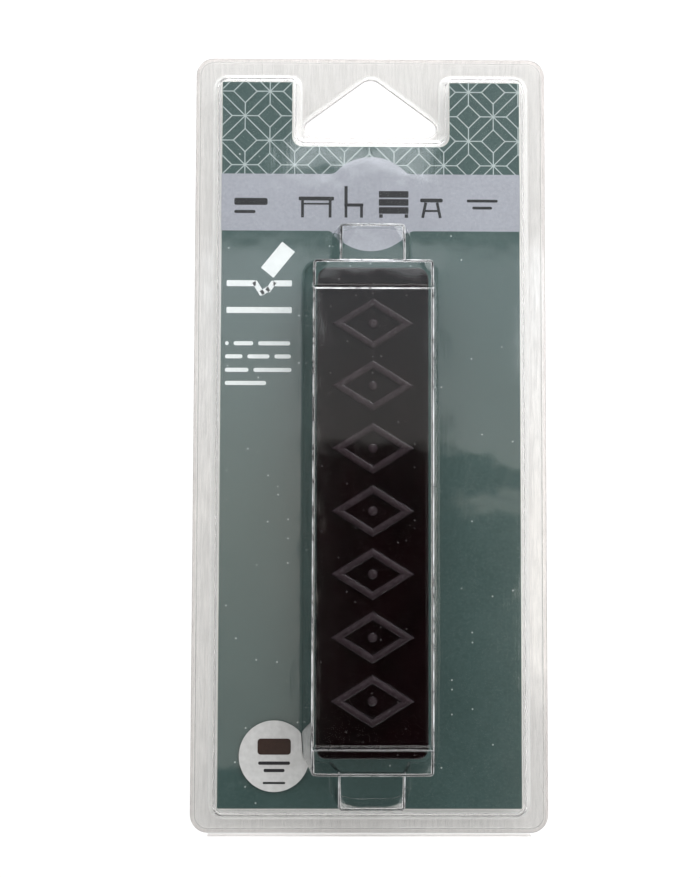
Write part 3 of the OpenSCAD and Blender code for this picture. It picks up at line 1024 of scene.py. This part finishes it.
def make_stick():
    """Cast bar with rounded edges and a row of raised lozenges, each with a boss."""
    s = Solid()
    foot_in, top_in = 2.2, 2.3  # insets at which the rounded sides meet the flat faces
    x_back, y_back = STICK_HALF[0] + STICK_DRAFT, STICK_HALF[1] + STICK_DRAFT

    def loop(inset):
        return box_loop(
            x_back - inset, STICK_Y - y_back + inset, STICK_Y + y_back - inset,
            STICK_R + STICK_DRAFT - inset,
        )

    path = rounded(
        [(foot_in, STICK_Z), (0, STICK_Z), (STICK_DRAFT, STICK_TOP), (top_in, STICK_TOP)],
        [0.8, 0.9], 7,
    )
    s.loft(loop, path)
    s.fill(loop(foot_in)[0], [], STICK_Z, -1)

    steps = (MOTIF_COUNT - 1) / 2
    middles = [STICK_Y + (i - steps) * MOTIF_PITCH for i in range(MOTIF_COUNT)]
    edge = MOTIF_HALF[0] * MOTIF_HALF[1] / math.hypot(*MOTIF_HALF)

    def height(x, y):
        z = np.zeros_like(x)
        for middle in middles:
            off = np.abs(x) / MOTIF_HALF[0] + np.abs(y - middle) / MOTIF_HALF[1]
            u = np.abs(off - STROKE_MID) * edge / STROKE_HALF
            ridge = np.sqrt(np.clip(1 - u**2.2, 0, None))
            r = np.hypot(x, y - middle) / BOSS_R
            boss = np.sqrt(np.clip(1 - r**2.2, 0, None))
            z = np.maximum(z, np.maximum(ridge, boss))
        return STICK_TOP + STROKE_H * z

    xs = np.linspace(-11.6, 11.6, 94)
    reach = steps * MOTIF_PITCH + MOTIF_HALF[1] + 0.9
    ys = STICK_Y + np.linspace(-reach, reach, 460)
    s.field(xs, ys, height)
    s.fill(loop(top_in)[0], [rim_of(xs, ys)], STICK_TOP)
    return s.piece("wax_bar", "stick", [wax_brown], "wax", "wax_stick")


# Label

def make_label():
    """Round paper label that lies on the window and bends up the foot of the tray's wall."""
    height = tray_field(0.0)[0]
    lx, ly = LABEL_XY
    across = np.linspace(lx - LABEL_R, lx + LABEL_R, 600)
    count = 41
    rows = []
    for angle in np.linspace(-math.pi / 2, math.pi / 2, count):
        chord = LABEL_R * math.cos(angle)
        y = np.full(across.shape, ly + LABEL_R * math.sin(angle))
        steps = np.hypot(np.diff(across), np.diff(height(across, y)))
        length = np.concatenate(([0.0], np.cumsum(steps))) - LABEL_R
        x = np.interp(np.linspace(-chord, chord, count), length, across)
        y = y[:count]
        rows.append((np.column_stack((x, y, height(x, y))), normals_of(height, x, y)))
    s = Solid()
    low, high = 0.012, LABEL_T

    def skin(offset, up):
        for (p, a), (q, b) in zip(rows, rows[1:]):
            p1, q1 = p + a * offset, q + b * offset
            for i in range(count - 1):
                corners = [p1[i], p1[i + 1], q1[i + 1], q1[i]]
                s.face(corners, [up * a[i], up * a[i + 1], up * b[i + 1], up * b[i]])

    skin(low, -1)
    skin(high, 1)
    for (p, a), (q, b) in zip(rows, rows[1:]):
        for i, way in ((0, -1), (-1, 1)):
            ends = ((p, a, low), (q, b, low), (q, b, high), (p, a, high))
            s.face([spots[i] + n[i] * up for spots, n, up in ends], [(way, 0, 0)] * 4)
    label = s.piece("round_label", "front", [label_paper], "label", "shade_label")
    prints = Solid()
    z0 = WINDOW_Z + LABEL_T
    z1 = z0 + INK
    patch, row = 0, 1
    prints.plate(bar(lx - 4.6, lx + 4.6, ly + 2.6, 4.4, 0.9), z0, z1, patch)
    for half, y, h in ((4.4, -1.9, 0.9), (2.9, -3.9, 0.9), (3.1, -7.3, 0.6)):
        prints.plate(bar(lx - half, lx + half, ly + y, h), z0, z1, row)
    prints.piece("label_print", "front", [sample, black], "label")
    return label


make_back()
make_fold()
make_card()
make_lattice()
make_band()
make_white_print()
make_black_print()
make_stick()
make_front()
make_label()


# Floor, light and camera

def make_floor():
    """Pale floor that is plain white to the camera and keeps its shading under the clear sheet."""
    t = paint("floor_pale")
    path = t.add("ShaderNodeLightPath").outputs
    through = t.math("MAXIMUM", path["Is Glossy Ray"], path["Is Transmission Ray"])
    seen = t.math("MAXIMUM", path["Is Camera Ray"], t.math("MULTIPLY", through, 0.14))
    paper = t.add("ShaderNodeBsdfDiffuse", Color=(0.90, 0.855, 0.84, 1))
    glow = t.add("ShaderNodeEmission", Color=(1, 1, 1, 1), Strength=1.08)
    mix = t.add("ShaderNodeMixShader")
    t.tree.links.new(t.ramp(seen, 0, 1, 0.05, 0.86), mix.inputs[0])
    t.tree.links.new(paper.outputs[0], mix.inputs[1])
    t.tree.links.new(glow.outputs[0], mix.inputs[2])
    bpy.ops.mesh.primitive_plane_add(size=6.0, location=(0, 0, -0.0002))
    floor = bpy.context.object
    floor.name = "floor"
    floor.data.materials.append(t.surface(mix.outputs[0]))


def make_lamp(name, at, size, radiance, mirrored=True):
    """Soft panel aimed at the origin, in metres, that gloss shows only if it is mirrored."""
    data = bpy.data.lights.new(name, "AREA")
    data.shape = "RECTANGLE"
    data.size, data.size_y = size
    data.energy = radiance * math.pi * size[0] * size[1]
    lamp = bpy.data.objects.new(name, data)
    lamp.location = at
    lamp.rotation_euler = (-Vector(at)).to_track_quat("-Z", "Y").to_euler()
    lamp.visible_camera = False
    lamp.visible_glossy = lamp.visible_transmission = mirrored
    bpy.context.scene.collection.objects.link(lamp)


WALL_LIGHT, FIELD_LIGHT, CEILING_LIGHT = 0.5, 1.33, 0.006


def make_world():
    """Room with pale walls, a dark ceiling and a soft pale field overhead towards the hole's end.

    The room is seen in gloss alone: to the camera the world is plain white.
    """
    t = Nodes(bpy.data.worlds.new("studio"), "ShaderNodeOutputWorld")
    bpy.context.scene.world = t.owner
    way = t.add("ShaderNodeTexCoord").outputs["Generated"]
    axes = t.add("ShaderNodeSeparateXYZ", Vector=way).outputs
    x, y, z = axes["X"], axes["Y"], axes["Z"]
    flat = t.math("MAXIMUM", z, 0.1)
    u, v = t.math("DIVIDE", x, flat), t.math("DIVIDE", y, flat)

    def times(*values):
        out = values[0]
        for value in values[1:]:
            out = t.math("MULTIPLY", out, value)
        return out

    def blend(share, first, second):
        """First where the share is 0, second where it is 1."""
        gap = t.math("SUBTRACT", second, first)
        return t.math("ADD", first, times(share, gap))

    walls = times(
        t.ramp(z, 0.55, 0.80, 1.0, 0.0, True),
        t.ramp(y, -0.7, 0.3, 0.35, 1.0, True),
        t.ramp(x, -1, 1, 0.85, 1.15),
    )
    above = t.ramp(v, -0.012, 0.012, soft=True)
    middle = times(above, t.ramp(v, 0.236, 0.252, 0.30, 1.05, True))
    slant = t.math("ADD", v, times(t.math("SUBTRACT", u, 0.15), 0.31))
    wave = times(
        t.ramp(v, -0.110, -0.083, soft=True),
        t.ramp(v, -0.056, -0.083, soft=True),
        t.ramp(u, 0.16, 0.21, 0.05, 0.5, True),
    )
    wave = t.math("ADD", wave, t.ramp(u, 0.19, 0.28, 0.0, 0.16))
    right = t.math("MAXIMUM", times(t.ramp(slant, -0.012, 0.012, soft=True), 0.78), wave)
    beside = times(t.ramp(u, 0.268, 0.285, soft=True), t.ramp(v, -0.44, -0.28, 0.0, 1.5, True))
    right = t.math("MAXIMUM", right, beside)
    left = times(
        t.ramp(v, -0.475, -0.445, soft=True),
        t.ramp(v, -0.45, 0.22, 0.50, 1.22),
        t.ramp(u, -0.185, -0.170, 0.3, 1.0, True),
    )
    field = blend(t.ramp(u, 0.148, 0.164, soft=True), middle, right)
    field = blend(t.ramp(u, -0.030, -0.046, soft=True), field, left)
    overhead = t.ramp(z, 0.70, 0.80, soft=True)
    field = times(field, overhead, t.ramp(v, 0.26, 0.31, 1.0, 0.14, True))
    glint = times(
        t.ramp(v, 0.375, 0.405, soft=True),
        t.ramp(v, 0.455, 0.425, soft=True),
        t.ramp(u, -0.09, -0.05, soft=True),
        t.ramp(u, 0.16, 0.12, 0.0, 2.0, True),
    )
    field = t.math("ADD", field, glint)
    light = t.math("ADD", times(walls, WALL_LIGHT), times(field, FIELD_LIGHT))
    light = t.math("ADD", light, CEILING_LIGHT)
    tone = t.tint(v, -0.10, 0.22, (1.06, 1.01, 0.94), (0.96, 1.0, 1.04))
    room = t.add("ShaderNodeBackground", Color=tone, Strength=light)
    plain = t.add("ShaderNodeBackground", Color=(1, 1, 1, 1), Strength=1.0)
    mix = t.add("ShaderNodeMixShader", Fac=t.add("ShaderNodeLightPath").outputs["Is Camera Ray"])
    t.tree.links.new(room.outputs[0], mix.inputs[1])
    t.tree.links.new(plain.outputs[0], mix.inputs[2])
    t.surface(mix.outputs[0])


make_floor()
make_world()
make_lamp("key_top", (0.14, 0.52, 0.30), (0.60, 0.36), 4.0)
make_lamp("key_right", (0.42, 0.26, 0.27), (0.60, 0.40), 3.7, mirrored=False)
make_lamp("key_left", (-0.36, 0.26, 0.24), (0.50, 0.44), 2.5, mirrored=False)
make_lamp("key_low", (0.05, -0.60, 0.24), (0.60, 0.24), 1.7)

# Camera fitted to the photograph, for an image of 700 x 878 pixels
FOCAL_PX, LONG_SIDE_PX, SHIFT_PX = 700.0, 878.0, (13.4, -16.1)
EYE, EYE_TURN = (-10.4, -0.5, 199.0), (1.68, -0.28, 0.19)
camera = bpy.data.cameras.new("camera")
camera.sensor_fit = "AUTO"
camera.sensor_width = 36.0
camera.lens = FOCAL_PX / LONG_SIDE_PX * camera.sensor_width
camera.shift_x, camera.shift_y = [shift / LONG_SIDE_PX for shift in SHIFT_PX]
camera.clip_start, camera.clip_end = 0.01, 20.0
eye = bpy.data.objects.new("camera", camera)
eye.location = [c * MM for c in EYE]
eye.rotation_euler = [math.radians(a) for a in EYE_TURN]
bpy.context.scene.collection.objects.link(eye)
bpy.context.scene.camera = eye
bpy.context.scene.view_settings.view_transform = "Standard"
